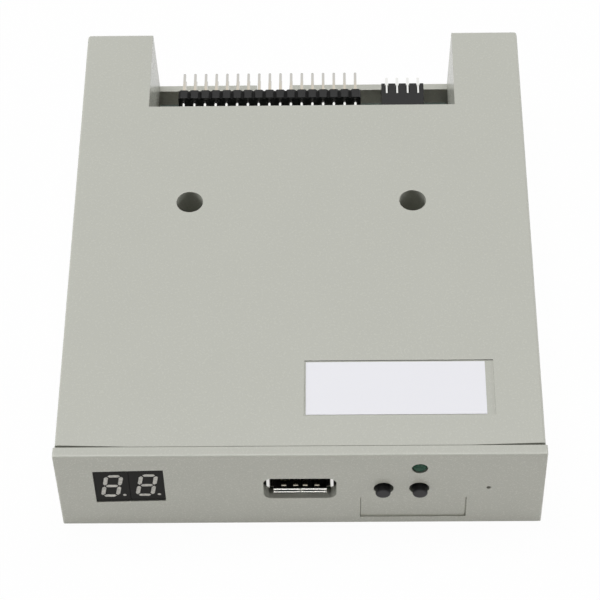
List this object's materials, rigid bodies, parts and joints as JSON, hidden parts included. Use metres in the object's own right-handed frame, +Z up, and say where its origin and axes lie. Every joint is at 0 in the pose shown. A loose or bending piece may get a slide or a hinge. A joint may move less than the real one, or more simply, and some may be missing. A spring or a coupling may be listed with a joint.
{
  "type": "floppy drive emulator",
  "caption": "Flat box for a drive bay that stands in for a floppy drive: bezel with digit display, USB socket and push buttons, and a rear bay with ribbon and power headers.",
  "frame": {"origin": "on the underside, in the middle of the whole part's length and width, the proud buttons included", "axes": "+X to the right seen from the front, +Y to the rear where the cables go in, +Z up; the bezel faces -Y"},
  "size_m": [0.1016, 0.1216, 0.0254],
  "materials": {
    "case_plastic": "fine grained grey moulding",
    "label_film": "plain white film",
    "circuit_board": "green solder mask",
    "screw_steel": "zinc plated",
    "header_plastic": "black moulding",
    "pin_gold": "thin pale gold plating",
    "pin_tin": "tin plated",
    "socket_steel": "bright nickel plate",
    "socket_plastic": "black moulding",
    "digit_face": "black face",
    "digit_bars": "milky diffuser",
    "lamp_resin": "tinted green resin",
    "button_plastic": "charcoal moulding",
    "spring_steel": "stamped sheet",
    "chip_resin": "black resin",
    "can_sleeve": "shrunk sleeve"
  },
  "bodies": {
    "case": {"base_tray": "case_plastic", "top_cover": "case_plastic", "front_bezel": "case_plastic", "top_label": "label_film", "main_board": "circuit_board", "case_screws": "screw_steel", "board_screws": "screw_steel", "ribbon_header": "header_plastic", "ribbon_pins": "pin_gold", "power_header": "header_plastic", "power_pins": "pin_tin", "usb_shell": "socket_steel", "usb_insulator": "socket_plastic", "usb_contacts": "pin_gold", "left_digit": "digit_face", "right_digit": "digit_face", "digit_segments": "digit_bars", "display_board": "circuit_board", "display_pins": "pin_tin", "link_pins": "pin_gold", "link_strip": "header_plastic", "status_lamp": "lamp_resin", "lamp_leads": "pin_tin", "left_dome": "spring_steel", "right_dome": "spring_steel", "switch_bases": "header_plastic", "switch_frames": "spring_steel", "switch_legs": "pin_tin", "processor": "chip_resin", "driver_chips": "chip_resin", "regulator": "chip_resin", "chip_leads": "pin_tin", "crystal": "socket_steel", "capacitors": "can_sleeve", "chip_resistors": "chip_resin", "jumper_block": "header_plastic", "jumper_pins": "pin_gold", "jumper_cap": "header_plastic"},
    "left_button": {"left_button": "button_plastic"},
    "right_button": {"right_button": "button_plastic"}
  },
  "joints": [
    {"name": "left_button_press", "type": "slide", "parent": "case", "child": "left_button", "axis": [0, 1, 0], "range_m": [0, 0.00025], "stiffness_N_per_m": 2000, "springref_m": -0.0005, "deforming": ["left_dome"]},
    {"name": "right_button_press", "type": "slide", "parent": "case", "child": "right_button", "axis": [0, 1, 0], "range_m": [0, 0.00025], "stiffness_N_per_m": 2000, "springref_m": -0.0005, "deforming": ["right_dome"]}
  ]
}
